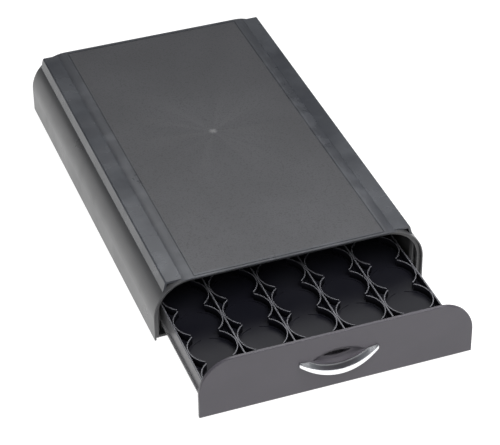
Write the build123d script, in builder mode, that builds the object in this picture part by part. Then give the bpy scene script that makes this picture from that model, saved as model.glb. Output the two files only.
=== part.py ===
"""A low countertop drawer with five columns of ten round-flanged wells.

Frame: millimetres, +X to the right of someone facing the drawer, +Y to the back, +Z up.
The drawer is modelled part way open, pulled out by drawer_open. The origin is the middle of
the outline that it has so, seen from above, on the surface that the feet stand on.
"""
import os
from math import sqrt

from build123d import *

# ---------------------------------------------------------------- housing
housing_width = 258.0
housing_depth = 405.0
housing_height = 60.0       # from the cover's lower edge to the top plate
corner_radius = 36.0        # the cover's long upper corners
cover_wall = 2.5
back_edge_round = 1.5       # round between the cover's back and its top and sides
lip_round = 0.6             # rounds on the lip's front edges
lip_thickness = 1.6         # thin outer edge of the mouth
frame_width = 4.8           # lip and the band behind it, seen from the front
rebate_depth = 3.3          # from the mouth's edge back to the band
frame_depth = 3.0           # the band's own depth
field_half_width = 90.3     # middle of the groove beside the grained field on the top
field_front_margin = 2.6    # from the mouth's edge to the cross groove behind it
field_back_margin = 5.0     # from the back edge to the other cross groove
groove_width = 0.9
groove_depth = 0.5

# ---------------------------------------------------------------- stacking rails
rail_strip_inset = 29.4     # from the housing's side to the flat strip's inner edge
rail_edge_inset = 12.7      # and to its outer edge
rail_toe_inset = 10.1       # and to where the sloping wall lands on the round corner
rail_drop = 0.8             # the strip lies this much below the top
rail_edge_round = 1.8
rail_wall = 2.2
rail_end_gap = 3.6          # from each end of the housing to the rail's end
rail_seat_gap = 0.05
rail_web_thickness = 2.0
rail_web_count = 4
rail_web_inset = 38.0       # from the rail's end to the first web inside it
peg_radius = 2.0
peg_clearance = 0.15
peg_proud = 1.0             # how far a peg reaches below the cover's inner face

# ---------------------------------------------------------------- base plate
base_thickness = 2.5
base_edge_gap = 0.3
foot_radius = 7.0
foot_proud = 1.2            # the feet lift the housing by this much
foot_pocket_depth = 0.8
foot_edge_round = 0.5
foot_inset_x = 27.0         # foot centres from the housing's sides
foot_inset_y = 30.0         # foot centres from the housing's ends
screw_shank_radius = 1.1
screw_length = 11.0
screw_head_radius = 2.3
screw_head_height = 1.2
screw_head_gap = 0.2
screw_hole_radius = 1.4
boss_radius = 2.8
boss_standoff = 3.4         # from the cover's inner face to a boss's axis
boss_web = 1.6              # thickness of the web that ties a boss to the wall
boss_inset_y = 12.0         # first and last bosses from the housing's ends
pilot_extra_depth = 2.0

# ---------------------------------------------------------------- drawer
drawer_open = 112.0
drawer_travel = 290.0       # from closed to the stop
front_thickness = 3.0
front_side_gap = 1.5
front_top_gap = 0.6
front_bottom_gap = 0.7
front_edge_round = 0.6
column_count = 5
row_count = 10
tray_side_room = 9.95       # from the cover's inner face to the tray's side
row_pitch = 38.0
flange_radius = 18.55       # the round flange that a well takes
flange_clearance = 0.45
tray_wall = 1.6
tray_front_wall = 1.5
deck_thickness = 1.6
well_depth = 7.2
tray_depth = 17.2           # from the side walls' lower edge to their rim
running_gap = 0.3
runner_height = 2.7
runner_width = 3.0
flange_width = 2.0
flange_thickness = 1.5
collar_wall = 1.1
collar_row_gap = 0.75       # between a well's collars and the line half way to the next row
rim_round = 0.5             # rounds along the tray's rim and the tops of its dividers
seat_radius = 19.4
seat_depth = 0.6
deck_rib_thickness = 1.4
deck_rib_height = 4.0

# ---------------------------------------------------------------- guides and stops
fence_thickness = 1.0
fence_gap = 0.4
hook_length = 18.0
hook_thickness = 1.7
hook_reach = 1.5            # how far a hook overhangs the tray's flange
hook_count = 4
stop_width = 16.0
stop_thickness = 3.0
stop_half_spacing = 57.0
stop_overlap = 3.5          # how far a stop reaches above the tray's lower edge

# ---------------------------------------------------------------- finger recess and pull
recess_half_width = 26.6
recess_half_height = 8.7
recess_depth = 6.4
recess_wall = 1.5
recess_draft = 32.0         # degrees that the recess's wall leans inwards
recess_height = 32.8        # middle of the recess above the cover's lower edge
pull_half_width = 36.4
pull_middle_reach = 7.3     # how far the pull stands out at its middle
pull_tip_reach = 2.0
pull_middle_height = 6.3
pull_tip_rise = 1.5         # the pull's tips above the recess's middle
pull_tip_height = 3.6
pull_sag = 10.6             # the front edge's drop from its tips to its middle
pull_stations = 12          # stretches that the pull is lofted in
pin_radius = 1.4
pin_clearance = 0.1
pin_head_radius = 2.3
pin_head_height = 0.8
clip_width = 8.0
clip_thickness = 1.8
clip_barb = 1.0
clip_gap = 0.3
clip_reach = 1.8            # barb's length behind the tray's front wall
clip_places = (35.0, 95.0)  # clips from the middle plane
clip_height = 4.6           # above the tray's lower edge

# ---------------------------------------------------------------- derived places
edge_z = foot_proud
top_z = edge_z + housing_height
half_width = housing_width / 2
frame_shift = (drawer_open + pull_middle_reach) / 2
housing_middle = frame_shift
front_y = housing_middle - housing_depth / 2
back_y = housing_middle + housing_depth / 2
inner_half = half_width - cover_wall
corner_x = half_width - corner_radius
corner_z = top_z - corner_radius
field_length = housing_depth - field_front_margin - field_back_margin
field_middle = housing_middle + (field_front_margin - field_back_margin) / 2
rail_top = top_z - rail_drop
rail_inner = half_width - rail_strip_inset
rail_edge = half_width - rail_edge_inset
rail_toe = half_width - rail_toe_inset
peg_x = (rail_inner + rail_edge) / 2

base_top = edge_z + base_thickness
frame_back = front_y + rebate_depth + frame_depth
runner_top = base_top + runner_height
tray_bottom = runner_top + running_gap
rim_z = tray_bottom + tray_depth
deck_top = rim_z - well_depth
deck_bottom = deck_top - deck_thickness

drawer_face = front_y - drawer_open
front_back = drawer_face + front_thickness
tray_half = inner_half - tray_side_room
column_pitch = (2 * tray_half - tray_wall) / column_count
first_row = front_back + tray_front_wall + flange_clearance + flange_radius
collar_outer = (column_pitch - tray_wall) / 2
collar_opening = 2 * sqrt(collar_outer**2 - (row_pitch / 2 - collar_row_gap) ** 2)
last_row = first_row + (row_count - 1) * row_pitch
tray_back = last_row + collar_outer + tray_wall
tray_length = tray_back - front_back
row_middle = (first_row + last_row) / 2

front_half = half_width - lip_thickness - front_side_gap
front_low = edge_z + front_bottom_gap
front_high = top_z - lip_thickness - front_top_gap
front_corner = corner_radius - lip_thickness - front_side_gap

boss_x = inner_half - boss_standoff
boss_rows = (front_y + boss_inset_y, housing_middle, back_y - boss_inset_y)
boss_places = [(side * boss_x, y) for side in (-1, 1) for y in boss_rows]

flange_edge = tray_half + flange_width
fence_inner = flange_edge + fence_gap
hook_under = tray_bottom + flange_thickness + running_gap
hook_top = hook_under + hook_thickness

recess_z = edge_z + recess_height
recess_radius = (recess_half_width**2 + recess_half_height**2) / (2 * recess_half_height)


def section(y):
    """The upright plane across the object at depth y, with X across and Z up."""
    return Plane.XZ.offset(-y)


def hood(half, low, high, radius):
    """An upright outline with square lower corners and round upper ones."""
    with BuildSketch() as outline:
        with Locations((0, (low + high) / 2)):
            Rectangle(2 * half, high - low)
        fillet(outline.vertices().group_by(Axis.Y)[-1], radius)
    return outline.sketch


def corner_drop(x, radius):
    """How far the round corner has fallen at a distance x from the middle plane."""
    return radius - sqrt(radius**2 - (x - corner_x) ** 2)


# ---------------------------------------------------------------- housing cover
peg_rows = [
    front_y + rail_end_gap + rail_web_inset
    + i * (housing_depth - 2 * rail_end_gap - 2 * rail_web_inset) / (rail_web_count - 1)
    for i in range(rail_web_count)
]
peg_places = [(side * peg_x, y) for side in (-1, 1) for y in peg_rows]

with BuildPart() as cover_cavity:
    with BuildSketch(section(frame_back)):
        add(hood(inner_half, edge_z - 1, top_z - cover_wall, corner_radius - cover_wall))
    extrude(amount=-(back_y - cover_wall - frame_back))
    with BuildSketch(Plane.XY.offset(base_top)):
        with Locations(*boss_places):
            Circle(boss_radius)
        with Locations(*[(side * (inner_half - boss_standoff / 2), y) for side in (-1, 1) for y in boss_rows]):
            Rectangle(boss_standoff, boss_web)
    extrude(amount=housing_height, mode=Mode.SUBTRACT)

with BuildPart() as housing_cover:
    with BuildSketch(section(front_y)):
        add(hood(half_width, edge_z, top_z, corner_radius))
    extrude(amount=-housing_depth)
    fillet(
        housing_cover.faces().sort_by(Axis.Y)[-1].edges().filter_by(
            lambda e: e.center().Z > edge_z + 0.01
        ),
        back_edge_round,
    )
    # the mouth: a thin lip, then the band that the drawer front closes against
    with BuildSketch(section(front_y)):
        add(
            hood(
                half_width - lip_thickness, edge_z - 1, top_z - lip_thickness, corner_radius - lip_thickness
            )
        )
    extrude(amount=-rebate_depth, mode=Mode.SUBTRACT)
    with BuildSketch(section(front_y)):
        add(hood(half_width - frame_width, edge_z - 1, top_z - frame_width, corner_radius - frame_width))
    extrude(amount=-(rebate_depth + frame_depth), mode=Mode.SUBTRACT)
    fillet(
        housing_cover.edges().filter_by(
            lambda e: abs(e.center().Y - front_y) < 0.01 and e.center().Z > edge_z + 0.01
        ),
        lip_round,
    )
    add(cover_cavity.part, mode=Mode.SUBTRACT)
    # grooves round the grained field
    with BuildSketch(Plane.XY.offset(top_z)):
        with Locations((0, field_middle)):
            Rectangle(2 * field_half_width + groove_width, field_length + groove_width)
            Rectangle(2 * field_half_width - groove_width, field_length - groove_width, mode=Mode.SUBTRACT)
    extrude(amount=-groove_depth, mode=Mode.SUBTRACT)
    # pilot holes in the bosses and holes for the rails' pegs
    with BuildSketch(Plane.XY.offset(base_top)):
        with Locations(*boss_places):
            Circle(screw_shank_radius)
    extrude(amount=screw_length + pilot_extra_depth, mode=Mode.SUBTRACT)
    with BuildSketch(Plane.XY.offset(top_z)):
        with Locations(*peg_places):
            Circle(peg_radius + peg_clearance)
    extrude(amount=-(corner_radius / 2), mode=Mode.SUBTRACT)


# ---------------------------------------------------------------- stacking rails
def make_rail(side):
    """A flat strip and a sloping wall over the cover's round corner, hollow between them."""
    toe_z = corner_z + sqrt(corner_radius**2 - (rail_toe - corner_x) ** 2)
    below = toe_z - 3 * rail_wall
    lean = (rail_toe - rail_edge) / (rail_top - toe_z)
    length = housing_depth - 2 * rail_end_gap
    start = front_y + rail_end_gap

    def outline(edge_x, high):
        """The rail's outer lines, down into the corner, with its outer edge at edge_x."""
        return [
            (side * rail_inner, below),
            (side * rail_inner, high),
            (side * edge_x, high),
            (side * (edge_x + lean * (high - below)), below),
        ]

    def wedge():
        with BuildSketch() as shape:
            with BuildLine():
                Polyline(*outline(rail_edge, rail_top), close=True)
            make_face()
            outer_top = shape.vertices().group_by(Axis.Y)[-1].sort_by(Axis.X)[-1 if side > 0 else 0]
            fillet(outer_top, rail_edge_round)
            with Locations((0, 0)):
                add(
                    hood(half_width + rail_seat_gap, edge_z, top_z + rail_seat_gap, corner_radius + rail_seat_gap),
                    mode=Mode.SUBTRACT,
                )
        return shape.sketch

    with BuildPart() as rail:
        with BuildSketch(section(start)):
            add(wedge())
        extrude(amount=-length)
        with BuildSketch(section(start)):
            with BuildLine():
                Polyline(
                    *outline(rail_edge - rail_wall + lean * rail_wall, rail_top - rail_wall), close=True
                )
            make_face()
        extrude(amount=-length, mode=Mode.SUBTRACT)
        for y in peg_rows:
            with BuildSketch(section(y - rail_web_thickness / 2)):
                add(wedge())
            extrude(amount=-rail_web_thickness)
        peg_low = top_z - cover_wall - corner_drop(peg_x, corner_radius - cover_wall) - peg_proud
        with BuildSketch(Plane.XY.offset(peg_low)):
            with Locations(*[(side * peg_x, y) for y in peg_rows]):
                Circle(peg_radius)
        extrude(amount=rail_top - rail_wall / 2 - peg_low)
    return rail.part


rails = {"left_rail": make_rail(-1), "right_rail": make_rail(1)}

# ---------------------------------------------------------------- base plate, guides, screws and feet
base_half = inner_half - base_edge_gap
tongue_half = half_width - frame_width - base_edge_gap
tongue_front = front_y + rebate_depth + base_edge_gap
base_front = frame_back + base_edge_gap
base_back = back_y - cover_wall - base_edge_gap
guide_front = base_front + boss_radius
guide_back = base_back - boss_radius
guide_length = guide_back - guide_front
guide_middle = (guide_front + guide_back) / 2
runner_x = tray_half - tray_wall / 2
fence_x = fence_inner + fence_thickness / 2
hook_rows = [guide_front + (i + 0.5) * guide_length / hook_count for i in range(hook_count)]
stop_y = tray_back - tray_wall + drawer_open - drawer_travel - running_gap - stop_thickness / 2
foot_places = {
    "foot_front_left": (-half_width + foot_inset_x, front_y + foot_inset_y),
    "foot_front_right": (half_width - foot_inset_x, front_y + foot_inset_y),
    "foot_back_left": (-half_width + foot_inset_x, back_y - foot_inset_y),
    "foot_back_right": (half_width - foot_inset_x, back_y - foot_inset_y),
}

with BuildPart() as base_plate:
    with BuildSketch(Plane.XY.offset(edge_z)):
        with Locations((0, (base_front + base_back) / 2)):
            Rectangle(2 * base_half, base_back - base_front)
        with Locations((0, (tongue_front + base_front) / 2)):
            Rectangle(2 * tongue_half, base_front - tongue_front)
    extrude(amount=base_thickness)
    # screw holes and foot pockets from below
    with BuildSketch(Plane.XY.offset(edge_z)):
        with Locations(*boss_places):
            Circle(screw_hole_radius)
    extrude(amount=base_thickness, mode=Mode.SUBTRACT)
    with BuildSketch(Plane.XY.offset(edge_z)):
        with Locations(*boss_places):
            Circle(screw_head_radius + screw_head_gap)
    extrude(amount=screw_head_height + screw_head_gap, mode=Mode.SUBTRACT)
    with BuildSketch(Plane.XY.offset(edge_z)):
        with Locations(*foot_places.values()):
            Circle(foot_radius)
    extrude(amount=foot_pocket_depth, mode=Mode.SUBTRACT)


def make_guide(side):
    """One side's guide: a runner, a fence, and hooks that hold the tray's flange down."""
    hook_width = fence_gap + hook_reach
    with BuildPart() as guide:
        with BuildSketch(Plane.XY.offset(base_top)):
            with Locations((side * runner_x, guide_middle)):
                Rectangle(runner_width, guide_length)
        extrude(amount=runner_height)
        with BuildSketch(Plane.XY.offset(base_top)):
            with Locations((side * fence_x, guide_middle)):
                Rectangle(fence_thickness, guide_length)
        extrude(amount=hook_top - base_top)
        with BuildSketch(Plane.XY.offset(hook_under)):
            with Locations(*[(side * (fence_inner - hook_width / 2), y) for y in hook_rows]):
                Rectangle(hook_width, hook_length)
        extrude(amount=hook_thickness)
    return guide.part


guides = {"left_guide": make_guide(-1), "right_guide": make_guide(1)}

with BuildPart() as drawer_stops:
    with BuildSketch(Plane.XY.offset(base_top)):
        with Locations((-stop_half_spacing, stop_y), (stop_half_spacing, stop_y)):
            Rectangle(stop_width, stop_thickness)
    extrude(amount=tray_bottom + stop_overlap - base_top)

screw_seat = edge_z + screw_head_gap + screw_head_height
with BuildPart() as base_screws:
    with BuildSketch(Plane.XY.offset(screw_seat - screw_head_height)):
        with Locations(*boss_places):
            Circle(screw_head_radius)
    extrude(amount=screw_head_height)
    with BuildSketch(Plane.XY.offset(screw_seat)):
        with Locations(*boss_places):
            Circle(screw_shank_radius)
    extrude(amount=screw_length)


def make_foot(place):
    """A round pad that sits in its pocket and stands proud of the base."""
    with BuildPart() as foot:
        with BuildSketch():
            with Locations(place):
                Circle(foot_radius)
        extrude(amount=foot_proud + foot_pocket_depth)
        fillet(foot.edges().group_by(Axis.Z)[0], foot_edge_round)
    return foot.part


feet = {name: make_foot(place) for name, place in foot_places.items()}

# ---------------------------------------------------------------- drawer tray
column_xs = [(i - (column_count - 1) / 2) * column_pitch for i in range(column_count)]
row_ys = [first_row + j * row_pitch for j in range(row_count)]
divider_xs = [(i - column_count / 2) * column_pitch for i in range(1, column_count)]
tray_middle = (front_back + tray_back) / 2
cup_half_width = recess_half_width + 2 * recess_wall
cup_low = recess_z - recess_half_height - 2 * recess_wall

with BuildPart() as drawer_tray:
    # side, front and back walls
    with BuildSketch(Plane.XY.offset(tray_bottom)):
        with Locations((0, tray_middle)):
            Rectangle(2 * tray_half, tray_length)
        with Locations((0, tray_middle + (tray_front_wall - tray_wall) / 2)):
            Rectangle(
                2 * (tray_half - tray_wall), tray_length - tray_front_wall - tray_wall, mode=Mode.SUBTRACT
            )
    extrude(amount=tray_depth)
    with BuildSketch(Plane.XY.offset(deck_bottom)):
        with Locations((0, tray_middle)):
            Rectangle(2 * tray_half, tray_length)
    extrude(amount=deck_thickness)
    # flanges along the foot of the side walls
    with BuildSketch(Plane.XY.offset(tray_bottom)):
        flange_x = tray_half + flange_width / 2
        with Locations((-flange_x, tray_middle), (flange_x, tray_middle)):
            Rectangle(flange_width, tray_length)
    extrude(amount=flange_thickness)
    fillet(drawer_tray.edges().group_by(Axis.Z)[-1], rim_round)
    # a shallow round seat in each well
    with BuildSketch(Plane.XY.offset(deck_top)):
        with Locations(*[(x, y) for x in column_xs for y in row_ys]):
            Circle(seat_radius)
    extrude(amount=-seat_depth, mode=Mode.SUBTRACT)
    # slots for the drawer front's clips, and room for its finger recess
    with BuildSketch(section(front_back)):
        with Locations(*[(side * x, tray_bottom + clip_height) for side in (-1, 1) for x in clip_places]):
            Rectangle(clip_width + 2 * clip_gap, clip_thickness + 2 * clip_gap)
        with Locations((0, (cup_low + rim_z + 1) / 2)):
            Rectangle(2 * cup_half_width, rim_z + 1 - cup_low)
    extrude(amount=-tray_front_wall, mode=Mode.SUBTRACT)

# the straight walls between the columns, and the ribs that stiffen the deck below them
with BuildPart() as column_dividers:
    inside_length = tray_length - tray_front_wall - tray_wall
    inside_middle = tray_middle + (tray_front_wall - tray_wall) / 2
    with BuildSketch(Plane.XY.offset(deck_top)):
        with Locations(*[(x, inside_middle) for x in divider_xs]):
            Rectangle(tray_wall, inside_length)
    extrude(amount=well_depth)
    fillet(column_dividers.edges().group_by(Axis.Z)[-1].filter_by(Axis.Y), rim_round)
    with BuildSketch(Plane.XY.offset(deck_bottom - deck_rib_height)):
        with Locations(*[(x, inside_middle) for x in divider_xs]):
            Rectangle(deck_rib_thickness, inside_length)
    extrude(amount=deck_rib_height)


def make_collars(column_x):
    """The low curved walls round a column's wells, two to a well."""
    with BuildPart() as collars:
        with BuildSketch(Plane.XY.offset(deck_top)):
            with Locations(*[(column_x, y) for y in row_ys]):
                Circle(collar_outer)
                Circle(collar_outer - collar_wall, mode=Mode.SUBTRACT)
                Rectangle(collar_opening, 2 * collar_outer, mode=Mode.SUBTRACT)
        extrude(amount=well_depth)
    return collars.part


collar_sets = {f"well_collars_{i + 1}": make_collars(x) for i, x in enumerate(column_xs)}


# ---------------------------------------------------------------- drawer front
def eye(grow=0.0):
    """The recess's pointed outline: two equal arcs that meet at its tips."""
    with BuildSketch() as outline:
        with BuildLine():
            left = (-recess_half_width - grow, 0)
            right = (recess_half_width + grow, 0)
            ThreePointArc(left, (0, recess_half_height + grow), right)
            ThreePointArc(right, (0, -recess_half_height - grow), left)
        make_face()
    return outline.sketch


with BuildPart() as drawer_front:
    with BuildSketch(section(drawer_face)):
        add(hood(front_half, front_low, front_high, front_corner))
    extrude(amount=-front_thickness)
    fillet(
        drawer_front.faces().sort_by(Axis.Y)[0].edges().filter_by(
            lambda e: e.center().Z > front_low + 0.01
        ),
        front_edge_round,
    )
    # the recess's cup, then its hollow
    with BuildSketch(section(drawer_face + front_thickness / 2)):
        with Locations((0, recess_z)):
            add(eye(recess_wall))
    extrude(amount=-(recess_depth + recess_wall - front_thickness / 2), taper=recess_draft)
    with BuildSketch(section(drawer_face)):
        with Locations((0, recess_z)):
            add(eye())
    extrude(amount=-recess_depth, taper=recess_draft, mode=Mode.SUBTRACT)
    # holes for the pull's pins
    pin_x = (recess_half_width + pull_half_width) / 2
    pin_z = recess_z - pin_head_radius / 2
    with BuildSketch(section(drawer_face)):
        with Locations((-pin_x, pin_z), (pin_x, pin_z)):
            Circle(pin_radius + pin_clearance)
    extrude(amount=-front_thickness, mode=Mode.SUBTRACT)
    # clips that snap through the tray's front wall
    clip_z = tray_bottom + clip_height
    clip_end = front_back + tray_front_wall + clip_gap + clip_reach
    with BuildSketch(section(front_back)):
        with Locations(*[(side * x, clip_z) for side in (-1, 1) for x in clip_places]):
            Rectangle(clip_width, clip_thickness)
    extrude(amount=-(clip_end - front_back))
    with BuildSketch(section(clip_end - clip_reach)):
        barb_z = clip_z + (clip_thickness + clip_barb) / 2
        with Locations(*[(side * x, barb_z) for side in (-1, 1) for x in clip_places]):
            Rectangle(clip_width, clip_barb)
    extrude(amount=-clip_reach)


# ---------------------------------------------------------------- pull
pull_tip_z = recess_z + pull_tip_rise
pull_middle_z = recess_z - recess_half_height


def arch(x, middle, tip, reach):
    """A value that eases along a round line from middle at x = 0 to tip at x = reach."""
    rise = abs(tip - middle)
    radius = (reach**2 + rise**2) / (2 * rise)
    return middle + (1 if tip > middle else -1) * (radius - sqrt(radius**2 - x**2))


def pull_profile(x):
    """The pull's cross-section at x: a ledge on top, a face in front and a flat back."""
    low_tip = pull_tip_z - pull_tip_height
    low = arch(x, pull_middle_z - pull_middle_height, low_tip, pull_half_width)
    front_high_z = arch(x, pull_tip_z - pull_sag, pull_tip_z, pull_half_width)
    reach = arch(x, pull_middle_reach, pull_tip_reach, pull_half_width)
    if abs(x) < recess_half_width:
        back_high = recess_z - sqrt(recess_radius**2 - x**2) + recess_radius - recess_half_height
    else:
        beyond = (abs(x) - recess_half_width) / (pull_half_width - recess_half_width)
        back_high = recess_z + beyond * pull_tip_rise
    face_y = drawer_face - reach
    return [(drawer_face, low), (face_y, low), (face_y, front_high_z), (drawer_face, back_high)]


with BuildPart() as pull:
    for i in range(pull_stations + 1):
        x = -pull_half_width + i * 2 * pull_half_width / pull_stations
        with BuildSketch(Plane.YZ.offset(x)):
            with BuildLine():
                Polyline(*pull_profile(x), close=True)
            make_face()
    loft(ruled=True)
    with BuildSketch(section(drawer_face)):
        with Locations((-pin_x, pin_z), (pin_x, pin_z)):
            Circle(pin_radius)
    extrude(amount=-(front_thickness + pin_head_height))
    with BuildSketch(section(front_back)):
        with Locations((-pin_x, pin_z), (pin_x, pin_z)):
            Circle(pin_head_radius)
    extrude(amount=-pin_head_height)

# ---------------------------------------------------------------- files
pieces = {
    "housing_cover": housing_cover.part,
    "base_plate": base_plate.part,
    "drawer_stops": drawer_stops.part,
    "base_screws": base_screws.part,
    "drawer_tray": drawer_tray.part,
    "column_dividers": column_dividers.part,
    "drawer_front": drawer_front.part,
    "pull": pull.part,
    **rails,
    **guides,
    **feet,
    **collar_sets,
}
os.makedirs("parts", exist_ok=True)
for name, piece in pieces.items():
    piece.label = name
    export_step(piece, f"parts/{name}.step")
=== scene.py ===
"""Dresses the frame of a low countertop drawer: finishes, visible pieces, light and camera."""

import math

import bmesh
import bpy
from mathutils import Matrix, Vector


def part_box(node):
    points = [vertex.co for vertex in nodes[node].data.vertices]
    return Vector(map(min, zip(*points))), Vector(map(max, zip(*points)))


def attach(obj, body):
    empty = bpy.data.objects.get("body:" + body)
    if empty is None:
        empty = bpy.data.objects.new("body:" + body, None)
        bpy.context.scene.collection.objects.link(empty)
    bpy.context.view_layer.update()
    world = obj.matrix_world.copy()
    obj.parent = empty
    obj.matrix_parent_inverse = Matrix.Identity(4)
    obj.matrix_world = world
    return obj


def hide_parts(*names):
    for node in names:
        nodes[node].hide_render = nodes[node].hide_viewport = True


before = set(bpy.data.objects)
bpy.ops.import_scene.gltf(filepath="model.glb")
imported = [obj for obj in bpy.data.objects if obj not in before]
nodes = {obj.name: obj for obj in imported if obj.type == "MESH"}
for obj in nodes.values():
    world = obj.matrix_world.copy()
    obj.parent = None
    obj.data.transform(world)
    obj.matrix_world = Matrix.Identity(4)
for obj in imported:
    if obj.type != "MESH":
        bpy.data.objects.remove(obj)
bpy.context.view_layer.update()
scene = bpy.context.scene

# ------------------------------------------------------- sizes, from the CAD nodes
cover_low, cover_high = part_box("housing_cover")
front_low, front_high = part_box("drawer_front")
tray_low, tray_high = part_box("drawer_tray")
TOP = cover_high.z
MOUTH = cover_low.y
BACK = cover_high.y
FACE = front_low.y
MIDDLE = (MOUTH + BACK) / 2


# ------------------------------------------------------- sizes of the dressed pieces, in metres
FIELD_HALF_WIDTH = 0.0894
FIELD_HALF_LENGTH = 0.1968
FIELD_SIDE_EDGE = 0.0003
FIELD_END_EDGE = 0.0004
GATE_MARK = (0.001, MOUTH + 0.212, TOP)
TRAY_SKIN = 0.0022
FRONT_CORNER = 0.0329
FRONT_EDGE_ROUND = 0.0008
FRONT_THICKNESS = 0.0030
RECESS_HALF_WIDTH = 0.0266
RECESS_HALF_HEIGHT = 0.0087
RECESS_Z = 0.0340
RECESS_WALL = 0.0015
PULL_HALF_WIDTH = 0.0364
PULL_MIDDLE_REACH = 0.0073
PULL_TIP_REACH = 0.0020
PULL_MIDDLE_HEIGHT = 0.0063
PULL_TIP_HEIGHT = 0.0036
PULL_TIP_RISE = 0.0015
PULL_SAG = 0.0106
PIN_X = 0.0315
PIN_Z = RECESS_Z - 0.00115
CLIP_XS = (-0.095, -0.035, 0.035, 0.095)
CLIP_Z = tray_low.z + 0.0046
CLIP_WIDTH = 0.008
# each clip's arm and barb: heights from and to, depths behind the face from and to
CLIP_PARTS = ((-0.0009, 0.0009, 0.0030, 0.0066), (0.0009, 0.0019, 0.0048, 0.0066))
# the recess from its edge inwards: how far drawn in, how deep behind the face
DISH = (
    (0.0, 0.0), (0.0006, 0.0001), (0.0012, 0.0003), (0.0017, 0.0007), (0.0021, 0.0013),
    (0.0025, 0.0021), (0.0029, 0.0031), (0.0034, 0.0041), (0.0040, 0.0049), (0.0047, 0.0054),
    (0.0056, 0.0056), (0.0066, 0.0056),
)
DISH_LOWER_SHARE = 0.6
CUP = ((0.0, 0.0030), (0.0030, 0.0066), (0.0048, 0.0079))
LEDGE_START = 0.0012
BEAD_START = 0.0008
BEAD_HEIGHT = 0.0006
BEAD_END = 0.0013
TIP_SHRINK = (0.55, 0.82, 0.94, 0.985)
# each pin's shank and head: radius, start and end behind the face
PIN_PARTS = ((0.0014, 0.0, 0.0038), (0.0023, 0.0030, 0.0038))
COLLAR_WALL = 0.0011
COLLAR_HALF_OPENING = 0.0129
COLLAR_ROUND = 0.00035
COLUMN_COUNT = 5
ROW_COUNT = 10
ROW_PITCH = 0.038


# ------------------------------------------------------- node helpers
class Nodes:
    """Adds shader nodes to a tree and joins them."""

    def __init__(self, tree):
        self.tree = tree

    def add(self, kind, **settings):
        node = self.tree.nodes.new(kind)
        for key, value in settings.items():
            setattr(node, key, value)
        return node

    def put(self, socket, value):
        if isinstance(value, bpy.types.NodeSocket):
            self.tree.links.new(value, socket)
        elif value is not None:
            socket.default_value = value

    def math(self, operation, a, b=None, c=None, clamp=False):
        node = self.add("ShaderNodeMath", operation=operation, use_clamp=clamp)
        for i, value in enumerate((a, b, c)):
            if value is not None:
                self.put(node.inputs[i], value)
        return node.outputs[0]

    def ramp(self, value, low, high, out_low=0.0, out_high=1.0, smooth=True):
        steps = "SMOOTHSTEP" if smooth else "LINEAR"
        node = self.add("ShaderNodeMapRange", interpolation_type=steps)
        node.clamp = True
        for name, given in (
            ("Value", value),
            ("From Min", low),
            ("From Max", high),
            ("To Min", out_low),
            ("To Max", out_high),
        ):
            self.put(node.inputs[name], given)
        return node.outputs["Result"]

    def noise(self, vector, scale, detail=3.0, rough=0.55, distortion=0.0):
        node = self.add("ShaderNodeTexNoise")
        self.put(node.inputs["Vector"], vector)
        node.inputs["Scale"].default_value = scale
        node.inputs["Detail"].default_value = detail
        node.inputs["Roughness"].default_value = rough
        node.inputs["Distortion"].default_value = distortion
        return node.outputs["Fac"]

    def mix(self, factor, a, b):
        node = self.add("ShaderNodeMix", data_type="RGBA", clamp_factor=True)
        self.put(node.inputs[0], factor)
        self.put(node.inputs[6], a)
        self.put(node.inputs[7], b)
        return node.outputs[2]

    def stretched(self, vector, factors):
        node = self.add("ShaderNodeVectorMath", operation="MULTIPLY")
        self.put(node.inputs[0], vector)
        node.inputs[1].default_value = factors
        return node.outputs[0]

    def bump(self, height, distance, strength=1.0, normal=None):
        node = self.add("ShaderNodeBump")
        node.inputs["Strength"].default_value = strength
        node.inputs["Distance"].default_value = distance
        self.put(node.inputs["Height"], height)
        if normal is not None:
            self.put(node.inputs["Normal"], normal)
        return node.outputs["Normal"]


def group(name, inputs, outputs):
    """An empty node group with named sockets; returns it with its two ends."""
    tree = bpy.data.node_groups.new(name, "ShaderNodeTree")
    for label, kind in inputs:
        tree.interface.new_socket(label, in_out="INPUT", socket_type=kind)
    for label, kind in outputs:
        tree.interface.new_socket(label, in_out="OUTPUT", socket_type=kind)
    return tree, tree.nodes.new("NodeGroupInput"), tree.nodes.new("NodeGroupOutput")


def leather_grain():
    """Fine pebbled grain: a height and a mask of its valleys."""
    tree, start, end = group(
        "leather_grain",
        [("Position", "NodeSocketVector")],
        [("Height", "NodeSocketFloat"), ("Valleys", "NodeSocketFloat")],
    )
    n = Nodes(tree)
    warp = n.noise(start.outputs["Position"], 260.0, 2.0)
    shifted = n.add("ShaderNodeVectorMath", operation="MULTIPLY_ADD")
    n.put(shifted.inputs[0], warp)
    shifted.inputs[1].default_value = (0.0016, 0.0016, 0.0016)
    n.put(shifted.inputs[2], start.outputs["Position"])
    cells = n.add("ShaderNodeTexVoronoi", feature="SMOOTH_F1")
    n.put(cells.inputs["Vector"], shifted.outputs[0])
    cells.inputs["Scale"].default_value = 820.0
    cells.inputs["Smoothness"].default_value = 0.6
    fine = n.noise(start.outputs["Position"], 2600.0, 2.0)
    coarse = n.noise(start.outputs["Position"], 420.0, 3.0)
    pebble = n.math("SUBTRACT", 1.0, cells.outputs["Distance"])
    height = n.math("ADD", n.math("MULTIPLY", pebble, 0.75), n.math("MULTIPLY", fine, 0.25))
    height = n.math("ADD", height, n.math("MULTIPLY", coarse, 0.5))
    n.put(end.inputs["Height"], height)
    n.put(end.inputs["Valleys"], n.ramp(cells.outputs["Distance"], 0.45, 0.8))
    return tree


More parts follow.
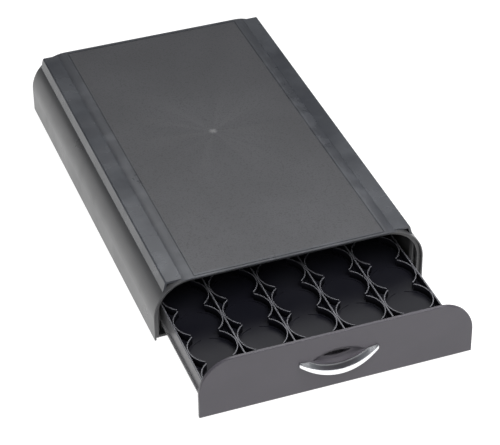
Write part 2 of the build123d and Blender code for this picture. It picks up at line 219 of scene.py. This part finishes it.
def handling():
    """Faint clouding, smudges and small scuffs that moulded plastic gathers."""
    tree, start, end = group(
        "handling",
        [("Position", "NodeSocketVector")],
        [("Cloud", "NodeSocketFloat"), ("Smudge", "NodeSocketFloat"), ("Scuff", "NodeSocketFloat")],
    )
    n = Nodes(tree)
    where = start.outputs["Position"]
    n.put(end.inputs["Cloud"], n.ramp(n.noise(where, 14.0, 4.0), 0.3, 0.7))
    n.put(end.inputs["Smudge"], n.ramp(n.noise(where, 38.0, 4.0, 0.55), 0.46, 0.74))
    streak = n.noise(n.stretched(where, (1.0, 0.22, 1.0)), 150.0, 4.0, 0.7, 1.2)
    n.put(end.inputs["Scuff"], n.ramp(streak, 0.69, 0.76))
    return tree


GRAIN = leather_grain()
HANDLING = handling()


def material(name):
    """A new material with its Principled shader and object coordinates."""
    made = bpy.data.materials.new(name)
    made.use_nodes = True
    tree = made.node_tree
    shader = tree.nodes["Principled BSDF"]
    n = Nodes(tree)
    where = n.add("ShaderNodeTexCoord").outputs["Object"]
    return made, n, shader, where


def use(n, tree, where):
    """A node group's outputs at a position."""
    node = n.add("ShaderNodeGroup", node_tree=tree)
    n.put(node.inputs["Position"], where)
    return node.outputs


def plastic(
    name, dark, light, rough_low, rough_high, grain=0.00002, specular=0.5, smudge_rough=0.06
):
    """Moulded plastic: clouded colour, uneven gloss and a faint surface."""
    made, n, shader, where = material(name)
    wear = use(n, HANDLING, where)
    cloud = n.math("MULTIPLY", n.math("ADD", wear["Cloud"], wear["Smudge"]), 0.5)
    colour = n.mix(cloud, (*dark, 1.0), (*light, 1.0))
    n.put(shader.inputs["Base Color"], colour)
    rough = n.ramp(wear["Cloud"], 0.0, 1.0, rough_low, rough_high, smooth=False)
    rough = n.math("ADD", rough, n.math("MULTIPLY", wear["Smudge"], smudge_rough))
    n.put(shader.inputs["Roughness"], rough)
    shader.inputs["Specular IOR Level"].default_value = specular
    n.put(shader.inputs["Normal"], n.bump(n.noise(where, 1500.0, 3.0), grain, 0.6))
    return made


# ------------------------------------------------------- materials
def cover_material():
    """Grained field on the top, smooth border round it, satin sides."""
    made, n, shader, where = material("cover_plastic")
    wear = use(n, HANDLING, where)
    grain = use(n, GRAIN, where)
    split = n.add("ShaderNodeSeparateXYZ")
    n.put(split.inputs[0], where)
    x = n.math("ABSOLUTE", split.outputs["X"])
    y = n.math("ABSOLUTE", n.math("SUBTRACT", split.outputs["Y"], MIDDLE))
    on_top = n.ramp(split.outputs["Z"], TOP - 0.0006, TOP - 0.0003)
    across = n.ramp(x, FIELD_HALF_WIDTH + FIELD_SIDE_EDGE, FIELD_HALF_WIDTH)
    along = n.ramp(y, FIELD_HALF_LENGTH + FIELD_END_EDGE, FIELD_HALF_LENGTH)
    field = n.math("MULTIPLY", n.math("MULTIPLY", on_top, across), along)
    # the gate mark in the middle: the real mark drawn as a small star of painted highlight, with
    # faint lobes of painted sheen round it
    gate = n.add("ShaderNodeVectorMath", operation="SUBTRACT")
    n.put(gate.inputs[0], where)
    gate.inputs[1].default_value = GATE_MARK
    reach = n.add("ShaderNodeVectorMath", operation="LENGTH")
    n.put(reach.inputs[0], gate.outputs[0])
    around = n.add("ShaderNodeVectorMath", operation="NORMALIZE")
    n.put(around.inputs[0], gate.outputs[0])
    rays = n.noise(around.outputs[0], 2.6, 2.0)
    distance = reach.outputs["Value"]
    painted_sheen_lobes = n.math("MULTIPLY", n.ramp(rays, 0.42, 0.66), n.ramp(distance, 0.105, 0.002))
    painted_sheen_lobes = n.math("MULTIPLY", painted_sheen_lobes, field)
    highlight_rays = n.ramp(rays, 0.35, 0.6, 0.25, 1.0)
    gate_mark_highlight = n.math("MULTIPLY", n.ramp(distance, 0.0055, 0.0004), highlight_rays)
    gate_mark_highlight = n.math("MULTIPLY", gate_mark_highlight, field)
    side_dark = (0.052, 0.052, 0.054, 1.0)
    side_light = (0.062, 0.062, 0.064, 1.0)
    colour = n.mix(wear["Cloud"], side_dark, side_light)
    border_colour = n.mix(wear["Smudge"], (0.036, 0.038, 0.044, 1.0), (0.060, 0.063, 0.071, 1.0))
    colour = n.mix(n.ramp(split.outputs["Z"], TOP - 0.0016, TOP - 0.0008), colour, border_colour)
    top_colour = n.mix(wear["Cloud"], (0.038, 0.038, 0.042, 1.0), (0.046, 0.046, 0.051, 1.0))
    valleys = n.math("MULTIPLY", grain["Valleys"], 0.5)
    top_colour = n.mix(valleys, top_colour, (0.020, 0.020, 0.021, 1.0))
    # painted sheen: lighter lobes round the gate mark, standing in for light on the top
    top_colour = n.mix(n.math("MULTIPLY", painted_sheen_lobes, 0.2), top_colour, (0.090, 0.090, 0.094, 1.0))
    # painted highlight: the gate mark's bright star
    top_colour = n.mix(n.math("MULTIPLY", gate_mark_highlight, 0.6), top_colour, (0.26, 0.26, 0.26, 1.0))
    n.put(shader.inputs["Base Color"], n.mix(field, colour, top_colour))
    smooth_rough = n.ramp(wear["Cloud"], 0.0, 1.0, 0.26, 0.34, smooth=False)
    smooth_rough = n.math("ADD", smooth_rough, n.math("MULTIPLY", wear["Smudge"], 0.05))
    grain_rough = n.ramp(grain["Valleys"], 0.0, 1.0, 0.34, 0.46, smooth=False)
    rough = n.add("ShaderNodeMix", data_type="FLOAT")
    n.put(rough.inputs[0], field)
    n.put(rough.inputs[2], smooth_rough)
    n.put(rough.inputs[3], grain_rough)
    n.put(shader.inputs["Roughness"], rough.outputs[0])
    height = n.math("MULTIPLY", grain["Height"], field)
    normal = n.bump(height, 0.00012, 0.7)
    n.put(shader.inputs["Normal"], n.bump(n.noise(where, 1800.0, 2.0), 0.00001, 0.5, normal))
    shader.inputs["Specular IOR Level"].default_value = 0.5
    return made


def chrome_material(name, clean, smudged, rough_low, rough_high):
    """Plated metal with faint smudges."""
    made, n, shader, where = material(name)
    wear = use(n, HANDLING, where)
    n.put(shader.inputs["Base Color"], n.mix(wear["Smudge"], (*clean, 1.0), (*smudged, 1.0)))
    shader.inputs["Metallic"].default_value = 1.0
    rough = n.ramp(wear["Cloud"], 0.0, 1.0, rough_low, rough_high, smooth=False)
    n.put(shader.inputs["Roughness"], rough)
    n.put(shader.inputs["Normal"], n.bump(n.noise(where, 900.0, 2.0), 0.000006, 0.4))
    return made


def tray_material():
    """Dark satin inside, an outer skin painted lighter as painted light, and glossier rims with a
    painted highlight.
    """
    made, n, shader, where = material("tray_plastic")
    wear = use(n, HANDLING, where)
    split = n.add("ShaderNodeSeparateXYZ")
    n.put(split.inputs[0], where)
    x = n.math("ABSOLUTE", split.outputs["X"])
    lit_outer_skin = n.ramp(x, tray_high.x - TRAY_SKIN, tray_high.x - TRAY_SKIN + 0.0004)
    rim_gloss_and_highlight = n.ramp(split.outputs["Z"], tray_high.z - 0.0006, tray_high.z - 0.0001)
    colour = n.mix(wear["Cloud"], (0.006, 0.006, 0.009, 1.0), (0.009, 0.009, 0.012, 1.0))
    # painted light: the outer skin is painted far lighter than the near-black inside, standing in
    # for the light on the outer sides
    colour = n.mix(lit_outer_skin, colour, (0.25, 0.247, 0.254, 1.0))
    # painted highlight: the rims are painted lighter; their lower roughness further down is real
    # gloss
    colour = n.mix(rim_gloss_and_highlight, colour, (0.10, 0.10, 0.11, 1.0))
    n.put(shader.inputs["Base Color"], colour)
    rough = n.ramp(wear["Cloud"], 0.0, 1.0, 0.46, 0.56, smooth=False)
    rough = n.math("ADD", rough, n.math("MULTIPLY", rim_gloss_and_highlight, -0.26))
    n.put(shader.inputs["Roughness"], n.math("ADD", rough, n.math("MULTIPLY", lit_outer_skin, -0.26)))
    shader.inputs["Specular IOR Level"].default_value = 0.32
    n.put(shader.inputs["Normal"], n.bump(n.noise(where, 1500.0, 3.0), 0.00002, 0.5))
    return made


COVER = cover_material()
RAIL = plastic(
    "rail_plastic", (0.030, 0.032, 0.038), (0.062, 0.066, 0.074), 0.20, 0.32, smudge_rough=-0.06
)
FRONT = plastic("front_plastic", (0.050, 0.046, 0.055), (0.060, 0.055, 0.065), 0.36, 0.42)
TRAY = tray_material()
BASE = plastic("base_plastic", (0.014, 0.014, 0.015), (0.020, 0.020, 0.021), 0.38, 0.5)
RUBBER = plastic(
    "foot_rubber", (0.010, 0.010, 0.010), (0.018, 0.018, 0.018), 0.7, 0.85, 0.00006, 0.3
)
STEEL = plastic("screw_steel", (0.55, 0.55, 0.54), (0.66, 0.66, 0.65), 0.25, 0.4)
STEEL.node_tree.nodes["Principled BSDF"].inputs["Metallic"].default_value = 1.0
CHROME = chrome_material("pull_chrome", (0.86, 0.87, 0.88), (0.78, 0.79, 0.81), 0.07, 0.14)
LEDGE = chrome_material("pull_ledge_satin", (0.86, 0.86, 0.89), (0.76, 0.76, 0.79), 0.28, 0.36)
BEAD = chrome_material("pull_bead", (0.95, 0.95, 0.96), (0.9, 0.9, 0.92), 0.62, 0.7)

FINISH = {
    "housing_cover": COVER,
    "left_rail": RAIL,
    "right_rail": RAIL,
    "base_plate": BASE,
    "left_guide": BASE,
    "right_guide": BASE,
    "drawer_stops": BASE,
    "base_screws": STEEL,
    "foot_front_left": RUBBER,
    "foot_front_right": RUBBER,
    "foot_back_left": RUBBER,
    "foot_back_right": RUBBER,
    "drawer_tray": TRAY,
    "column_dividers": TRAY,
    "drawer_front": FRONT,
    "pull": CHROME,
}
for i in range(1, COLUMN_COUNT + 1):
    FINISH[f"well_collars_{i}"] = TRAY
for name, finish in FINISH.items():
    node = nodes[name]
    node.data.materials.clear()
    node.data.materials.append(finish)


# ------------------------------------------------------- mesh helpers
def ring(bm, points):
    """A closed loop of edges through the points."""
    verts = [bm.verts.new(point) for point in points]
    return [bm.edges.new((verts[i - 1], verts[i])) for i in range(len(verts))]


def skin(bm, rings):
    """Smooth faces from each ring to the next."""
    for first, second in zip(rings, rings[1:]):
        made = bmesh.ops.bridge_loops(bm, edges=first + second)
        for face in made["faces"]:
            face.smooth = True


def cap(bm, edges):
    """Flat faces over one ring, or between one ring and another inside it."""
    bmesh.ops.triangle_fill(bm, edges=edges, use_beauty=True)
    for edge in edges:
        edge.smooth = False


def arc_height(x, middle, tip, reach):
    """A height that eases along a round line from middle at x = 0 to tip at x = reach."""
    rise = abs(tip - middle)
    radius = (reach**2 + rise**2) / (2 * rise)
    return middle + math.copysign(radius - math.sqrt(radius**2 - x**2), tip - middle)


def keep(bm, name, finish, body, replaced=()):
    """Turns the bmesh into an object of the scene that rides on a body."""
    bmesh.ops.recalc_face_normals(bm, faces=bm.faces)
    mesh = bpy.data.meshes.new(name)
    bm.to_mesh(mesh)
    bm.free()
    for made in finish if isinstance(finish, list) else [finish]:
        mesh.materials.append(made)
    piece = bpy.data.objects.new(name, mesh)
    scene.collection.objects.link(piece)
    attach(piece, body)
    if replaced:
        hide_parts(*replaced)
    return piece


# ------------------------------------------------------- drawer front
def hood_ring(bm, inset, depth, steps=14):
    """The drawer front's outline, drawn in by inset, at a depth behind its face."""
    half = front_high.x - inset
    low = front_low.z + inset
    high = front_high.z - inset
    corner = FRONT_CORNER - inset
    points = [(half, low), (-half, low)]
    for side in (-1, 1):
        for i in range(steps + 1):
            turn = math.pi / 2 * (i / steps if side < 0 else 1 - i / steps)
            x = half - corner + corner * math.cos(turn)
            points.append((side * x, high - corner + corner * math.sin(turn)))
    return ring(bm, [(x, FACE + depth, z) for x, z in points])


def eye_ring(bm, inset, depth, lower_share=1.0, steps=24):
    """The recess's pointed outline, drawn in by inset, at a depth behind the face.

    Along its lower edge the ring is only lower_share as deep.
    """
    radius = (RECESS_HALF_WIDTH**2 + RECESS_HALF_HEIGHT**2) / (2 * RECESS_HALF_HEIGHT)
    centre = radius - RECESS_HALF_HEIGHT
    tip = math.sqrt((radius - inset) ** 2 - centre**2)
    points = []
    for side in (1, -1):
        for i in range(steps):
            x = side * tip * math.cos(math.pi * i / steps)
            z = math.sqrt((radius - inset) ** 2 - x**2) - centre
            rise = (side * z + RECESS_HALF_HEIGHT) / (2 * RECESS_HALF_HEIGHT)
            local = depth * (lower_share + (1 - lower_share) * rise)
            points.append((x, FACE + local, RECESS_Z + side * z))
    return ring(bm, points)


def make_front():
    """The plate with its eased edge, the dished recess in it and the clips behind it."""
    bm = bmesh.new()
    turns = [math.pi / 2 * i / 4 for i in range(5)]
    edge = [
        hood_ring(
            bm, FRONT_EDGE_ROUND * (1 - math.sin(turn)), FRONT_EDGE_ROUND * (1 - math.cos(turn))
        )
        for turn in turns
    ]
    back = hood_ring(bm, 0.0, FRONT_THICKNESS)
    skin(bm, edge + [back])
    # the dish: a soft upper edge, a leaning wall and a round bottom
    rings = [eye_ring(bm, inset, depth, DISH_LOWER_SHARE) for inset, depth in DISH]
    skin(bm, rings)
    for part in rings[-1]:
        part.smooth = True
    bottom = bmesh.ops.contextual_create(bm, geom=rings[-1])["faces"]
    for face in bottom:
        face.smooth = True
    cap(bm, edge[0] + rings[0])
    for part in edge[0] + rings[0]:
        part.smooth = True
    # the cup behind the plate
    cup = [eye_ring(bm, inset - RECESS_WALL, depth) for inset, depth in CUP]
    skin(bm, cup)
    cap(bm, cup[-1])
    cap(bm, back + cup[0])
    # clips with a barb each
    for x in CLIP_XS:
        for low, high, depth_from, depth_to in CLIP_PARTS:
            box = bmesh.ops.create_cube(bm, size=1.0)["verts"]
            bmesh.ops.scale(bm, verts=box, vec=(CLIP_WIDTH, depth_to - depth_from, high - low))
            place = (x, FACE + (depth_from + depth_to) / 2, CLIP_Z + (low + high) / 2)
            bmesh.ops.translate(bm, verts=box, vec=place)
    return keep(bm, "front_panel", FRONT, "drawer", ["drawer_front"])


# ------------------------------------------------------- pull
def eased(points, radii, steps=4):
    """The closed line through the points with its corners rounded."""
    line = []
    for i, (point, radius) in enumerate(zip(points, radii)):
        here = Vector(point)
        if radius <= 0:
            line.append(here)
            continue
        before = (Vector(points[i - 1]) - here).normalized() * radius
        after = (Vector(points[(i + 1) % len(points)]) - here).normalized() * radius
        for k in range(steps + 1):
            t = k / steps
            line.append(here + before * (1 - t) ** 2 + after * t**2)
    return line


def pull_back(x):
    """The height at which the ledge meets the drawer front."""
    side = abs(x)
    if side < RECESS_HALF_WIDTH:
        return arc_height(side, RECESS_Z - RECESS_HALF_HEIGHT, RECESS_Z, RECESS_HALF_WIDTH)
    share = (side - RECESS_HALF_WIDTH) / (PULL_HALF_WIDTH - RECESS_HALF_WIDTH)
    return RECESS_Z + share * PULL_TIP_RISE


def pull_section(x):
    """The pull's section at x as distances out from the face and heights."""
    side = abs(x)
    tip_z = RECESS_Z + PULL_TIP_RISE
    low_middle = RECESS_Z - RECESS_HALF_HEIGHT - PULL_MIDDLE_HEIGHT
    low = arc_height(side, low_middle, tip_z - PULL_TIP_HEIGHT, PULL_HALF_WIDTH)
    high = arc_height(side, tip_z - PULL_SAG, tip_z, PULL_HALF_WIDTH)
    reach = arc_height(side, PULL_MIDDLE_REACH, PULL_TIP_REACH, PULL_HALF_WIDTH)
    back = pull_back(side)
    bead = BEAD_HEIGHT * min(1.0, (reach - PULL_TIP_REACH) / 0.001)
    low_round = min(0.0011, 0.35 * reach)
    high_round = min(0.0006, 0.2 * reach)
    corners = [
        (0.0, low), (reach, low), (reach, high),
        (LEDGE_START, back), (BEAD_START, back + bead), (0.0, back + bead),
    ]
    return eased(corners, [0, low_round, high_round, 0.00015, 0.0003, 0])


def make_pull():
    """The chromed pull with its ledge, rounded edges, closed tips and two headed pins."""
    bm = bmesh.new()
    count = 64
    xs = [PULL_HALF_WIDTH * math.sin(math.pi / 2 * (2 * i / count - 1)) for i in range(count + 1)]
    rings = []
    for i, x in enumerate(xs):
        line = pull_section(x)
        middle = sum(line, Vector((0.0, 0.0))) / len(line)
        from_end = min(i, count - i)
        shrink = TIP_SHRINK[from_end] if from_end < len(TIP_SHRINK) else 1.0
        line = [middle + (point - middle) * shrink for point in line]
        rings.append(ring(bm, [(x, FACE - max(out, 0.0), z) for out, z in line]))
    skin(bm, rings)
    cap(bm, rings[0])
    cap(bm, rings[-1])
    bm.normal_update()
    for face in bm.faces:
        middle = face.calc_center_median()
        if face.normal.z > 0.55 and middle.y < FACE - BEAD_END:
            face.material_index = 1
        elif middle.y > FACE - BEAD_END and middle.z > pull_back(middle.x):
            face.material_index = 2
    for side in (-1, 1):
        for radius, start, end in PIN_PARTS:
            made = bmesh.ops.create_cone(
                bm, cap_ends=True, segments=24, radius1=radius, radius2=radius, depth=end - start
            )["verts"]
            bmesh.ops.transform(bm, matrix=Matrix.Rotation(math.pi / 2, 4, "X"), verts=made)
            bmesh.ops.translate(bm, verts=made, vec=(side * PIN_X, FACE + (start + end) / 2, PIN_Z))
    return keep(bm, "chrome_pull", [CHROME, LEDGE, BEAD], "drawer", ["pull"])


# ------------------------------------------------------- well collars
def make_collars(name):
    """A column's curved walls with rounded rims, two to a well."""
    low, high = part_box(name)
    outer = (high.x - low.x) / 2
    inner = outer - COLLAR_WALL
    middle_x = (low.x + high.x) / 2
    middle_y = (low.y + high.y) / 2
    sweep = 2 * math.acos(COLLAR_HALF_OPENING / outer)
    corners = [(inner, low.z), (outer, low.z), (outer, high.z), (inner, high.z)]
    profile = eased(corners, [0, 0, COLLAR_ROUND, COLLAR_ROUND], 3)
    bm = bmesh.new()
    for row in range(ROW_COUNT):
        centre = Vector((middle_x, middle_y + (row - (ROW_COUNT - 1) / 2) * ROW_PITCH, 0.0))
        for start in (-sweep / 2, math.pi - sweep / 2):
            across = Vector((math.cos(start), math.sin(start), 0.0))
            first = ring(bm, [centre + across * out + Vector((0.0, 0.0, z)) for out, z in profile])
            swept = bmesh.ops.spin(
                bm, geom=first, cent=centre, axis=(0.0, 0.0, 1.0), angle=sweep, steps=14
            )["geom_last"]
            cap(bm, first)
            cap(bm, [part for part in swept if isinstance(part, bmesh.types.BMEdge)])
    for face in bm.faces:
        face.smooth = len(face.verts) == 4
    return keep(bm, name.replace("well", "rimmed"), TRAY, "drawer", [name])


make_front()
make_pull()
for column in range(1, COLUMN_COUNT + 1):
    make_collars(f"well_collars_{column}")


# ------------------------------------------------------- floor, light and camera
def floor():
    """A plain white sheet under the part, which glows a little."""
    mesh = bpy.data.meshes.new("floor")
    bm = bmesh.new()
    bmesh.ops.create_grid(bm, x_segments=1, y_segments=1, size=6.0)
    bm.to_mesh(mesh)
    bm.free()
    piece = bpy.data.objects.new("floor", mesh)
    scene.collection.objects.link(piece)
    made = bpy.data.materials.new("floor_white")
    made.use_nodes = True
    shader = made.node_tree.nodes["Principled BSDF"]
    shader.inputs["Base Color"].default_value = (0.25, 0.25, 0.25, 1.0)
    shader.inputs["Roughness"].default_value = 0.9
    shader.inputs["Specular IOR Level"].default_value = 0.1
    shader.inputs["Emission Color"].default_value = (1.0, 1.0, 1.0, 1.0)
    shader.inputs["Emission Strength"].default_value = 0.95
    mesh.materials.append(made)


def softbox(name, place, aim, size, power, mirrored=True):
    """A rectangular studio light; one that is not mirrored only fills."""
    light = bpy.data.lights.new(name, "AREA")
    light.shape = "RECTANGLE"
    light.size, light.size_y = size
    light.energy = power
    lamp = bpy.data.objects.new(name, light)
    scene.collection.objects.link(lamp)
    lamp.visible_glossy = mirrored
    lamp.location = place
    lamp.rotation_euler = (Vector(aim) - Vector(place)).to_track_quat("-Z", "Y").to_euler()


def camera():
    """The photograph's view, solved from its straight edges with the CAD's sizes."""
    yaw, pitch, roll = -0.3453, 0.6317, -0.0123
    photo_width = 500.0
    focal = 2016.92  # in the photograph's pixels
    sensor = 36.0
    place = Vector((-0.51544, MIDDLE - 1.52859, 1.13839))
    level = math.cos(pitch)
    ahead = Vector((-math.sin(yaw) * level, math.cos(yaw) * level, -math.sin(pitch)))
    right = Vector((math.cos(yaw), math.sin(yaw), 0.0))
    up = right.cross(ahead)
    turned_right = math.cos(roll) * right + math.sin(roll) * up
    turned_up = -math.sin(roll) * right + math.cos(roll) * up
    data = bpy.data.cameras.new("camera")
    data.sensor_fit = "HORIZONTAL"
    data.sensor_width = sensor
    data.lens = focal / photo_width * sensor
    data.clip_start = 0.05
    data.clip_end = 50.0
    made = bpy.data.objects.new("camera", data)
    scene.collection.objects.link(made)
    made.matrix_world = Matrix(
        (
            (turned_right.x, turned_up.x, -ahead.x, place.x),
            (turned_right.y, turned_up.y, -ahead.y, place.y),
            (turned_right.z, turned_up.z, -ahead.z, place.z),
            (0.0, 0.0, 0.0, 1.0),
        )
    )
    scene.camera = made


world = bpy.data.worlds.new("studio")
scene.world = world
world.use_nodes = True
world.node_tree.nodes["Background"].inputs["Color"].default_value = (0.9, 0.95, 1.0, 1.0)
world.node_tree.nodes["Background"].inputs["Strength"].default_value = 0.14
scene.view_settings.view_transform = "Standard"
scene.view_settings.look = "None"
scene.view_settings.exposure = 0.0
scene.view_settings.gamma = 1.0

floor()
softbox("right_fill", (1.4, -1.5, 1.7), (0.0, -0.2, 0.0), (1.6, 1.2), 16.0, mirrored=False)
softbox("left_fill", (-0.6, -0.9, 0.85), (0.0, -0.1, 0.0), (0.8, 0.6), 7.0, mirrored=False)
softbox("overhead_fill", (0.25, -0.45, 0.82), (0.1, -0.2, 0.0), (0.5, 0.4), 7.0, mirrored=False)
softbox("front_strip", (0.65, -1.63, 1.87), (0.0, -0.15, 0.05), (0.6, 0.3), 4.0)
softbox("back", (1.0, 1.5, 2.45), (0.0, 0.05, 0.0), (2.6, 1.2), 33.0)
camera()
